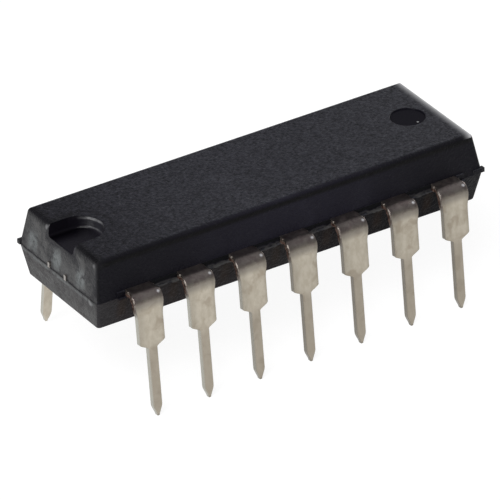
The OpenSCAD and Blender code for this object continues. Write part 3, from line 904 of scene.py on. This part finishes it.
def build_lead(number, material):
    """One lead: the stamped section carried along the bent path. The back row is the
    front row's shape with its own lean, turned half round."""
    back_row = number > LEADS_PER_ROW
    lean = BACK_LEAN if back_row else FRONT_LEAN
    s = lead_stops(lean)
    place, normal = lead_path(s, lean)
    width_left, depth_left = tip_rounding(s, lead_stages(lean)[-1])
    section, marks = lead_section(lead_half_width(s, lean) * width_left, SHEET / 2 * depth_left)
    across, depth = section[..., 0], section[..., 1]
    out = place[:, None, 0] + depth * normal[:, None, 0]
    up = place[:, None, 1] + depth * normal[:, None, 1]
    k = number - LEADS_PER_ROW if back_row else number
    along = (k - (LEADS_PER_ROW + 1) / 2) * LEAD_PITCH
    points = np.stack([along + across, -out, up], -1)
    rings, around = points.shape[:2]
    ends = np.array([points[0].mean(0), points[-1].mean(0)])
    points = np.concatenate([points.reshape(-1, 3), ends])
    if back_row:
        points = points * (-1, -1, 1)
    piece = mesh_piece(f"plated_lead_{number}", points, tube_faces(rings, around), material,
                       [f"lead_{number}"])
    for label, values in zip(LEAD_MARKS, marks.T):
        mark = piece.data.attributes.new(label, "FLOAT", "POINT")
        at_points = np.concatenate([np.tile(values, rings), [0.0, 0.0]])
        mark.data.foreach_set("value", at_points.astype(np.float32))


# Put together

def dress_nodes(finishes):
    """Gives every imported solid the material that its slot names."""
    for node in nodes.values():
        slot = node.material_slots[0]
        finish = finishes[slot.material.name.split(".")[0]]
        slot.link = "OBJECT"
        slot.material = finish


def ease_body_edges():
    """Rounds the moulding's sharp edges by a small bevel over its joined triangles."""
    body = nodes["package_body"]
    weld = body.modifiers.new("join_edges", "WELD")
    weld.merge_threshold = 1e-6
    ease = body.modifiers.new("ease_edges", "BEVEL")
    ease.width = EASED_EDGE * MM
    ease.segments = 2
    ease.limit_method = "ANGLE"
    ease.angle_limit = math.radians(35)
    ease.use_clamp_overlap = True
    ease.harden_normals = True


resin = moulding_resin()
tin = tinned_lead()
dress_nodes({"moulding_resin": resin, "tinned_lead": tin, "lead_frame_alloy": lead_frame_alloy(),
             "silver_adhesive": silver_adhesive(), "silicon": silicon(), "gold_wire": gold_wire()})
for number in range(1, 2 * LEADS_PER_ROW + 1):
    build_lead(number, tin)
ease_body_edges()


# Floor, lamps and world

FLOOR_HALF = 0.5
FLOOR_PALE = tone(0.85, 0.85, 0.85)
FLOOR_SEEN = tone(0.2, 0.2, 0.2)
FLOOR_GLOW = 0.89
AIM = Vector((0, 0, 0.002))
# Name, place, power in watts, width and height
LAMPS = (
    ("key_lamp", (-0.25, -0.20, 0.40), 2.0, 0.30, 0.30),
    ("left_lamp", (-0.42, -0.10, 0.10), 1.0, 0.25, 0.20),
    ("right_lamp", (0.43, 0.15, 0.215), 0.7, 0.16, 0.16),
)
WORLD_HORIZON = tone(0.5, 0.5, 0.5)
WORLD_OVERHEAD = tone(0.145, 0.145, 0.15)
WORLD_TURN = 0.45


def pale_floor():
    """A floor that reads white to the camera and in reflections, keeps the object's
    shadow and is clear from below."""
    material = bpy.data.materials.new("pale_floor")
    material.use_nodes = True
    tree = material.node_tree
    tree.nodes.clear()
    rays = tree.nodes.new("ShaderNodeLightPath").outputs
    seen = sums(tree, "ADD", sums(tree, "ADD", rays["Is Camera Ray"], rays["Is Glossy Ray"]),
                rays["Is Transmission Ray"], clamp=True)
    matt = add(tree, "ShaderNodeBsdfDiffuse", Color=blend(tree, seen, FLOOR_PALE, FLOOR_SEEN))
    glow = add(tree, "ShaderNodeEmission", Color=tone(1, 1, 1), Strength=times(tree, seen, FLOOR_GLOW))
    both = tree.nodes.new("ShaderNodeAddShader")
    tree.links.new(matt.outputs[0], both.inputs[0])
    tree.links.new(glow.outputs[0], both.inputs[1])
    choose = tree.nodes.new("ShaderNodeMixShader")
    tree.links.new(add(tree, "ShaderNodeNewGeometry").outputs["Backfacing"], choose.inputs[0])
    tree.links.new(both.outputs[0], choose.inputs[1])
    tree.links.new(add(tree, "ShaderNodeBsdfTransparent").outputs[0], choose.inputs[2])
    output = tree.nodes.new("ShaderNodeOutputMaterial")
    tree.links.new(choose.outputs[0], output.inputs[0])
    return material


def build_floor():
    """One square under the pins' tips."""
    h, z = FLOOR_HALF, -PIN_LENGTH * MM
    mesh = bpy.data.meshes.new("floor")
    mesh.from_pydata([(-h, -h, z), (h, -h, z), (h, h, z), (-h, h, z)], [], [(0, 1, 2, 3)])
    mesh.materials.append(pale_floor())
    floor = bpy.data.objects.new("floor", mesh)
    bpy.context.scene.collection.objects.link(floor)


def area_lamp(name, place, power, width, height):
    """A soft rectangular lamp that faces the middle of the package."""
    data = bpy.data.lights.new(name, "AREA")
    data.shape = "RECTANGLE"
    data.size, data.size_y = width, height
    data.energy = power
    lamp = bpy.data.objects.new(name, data)
    lamp.location = place
    lamp.visible_camera = False
    lamp.rotation_mode = "QUATERNION"
    lamp.rotation_quaternion = (AIM - lamp.location).to_track_quat("-Z", "Y")
    bpy.context.scene.collection.objects.link(lamp)


def build_world():
    """A plain studio dome, bright round the horizon and dimmer overhead."""
    world = bpy.data.worlds.new("studio")
    bpy.context.scene.world = world
    world.use_nodes = True
    tree = world.node_tree
    sky = tree.nodes.new("ShaderNodeTexCoord").outputs["Generated"]
    height = rescale(tree, add(tree, "ShaderNodeSeparateXYZ", Vector=sky).outputs[2], 0.0, WORLD_TURN)
    back = tree.nodes["Background"]
    put_in(tree, back.inputs["Color"], blend(tree, height, WORLD_HORIZON, WORLD_OVERHEAD))
    put_in(tree, back.inputs["Strength"], 1.0)


build_floor()
for lamp in LAMPS:
    area_lamp(*lamp)
build_world()
bpy.context.scene.view_settings.view_transform = "Standard"
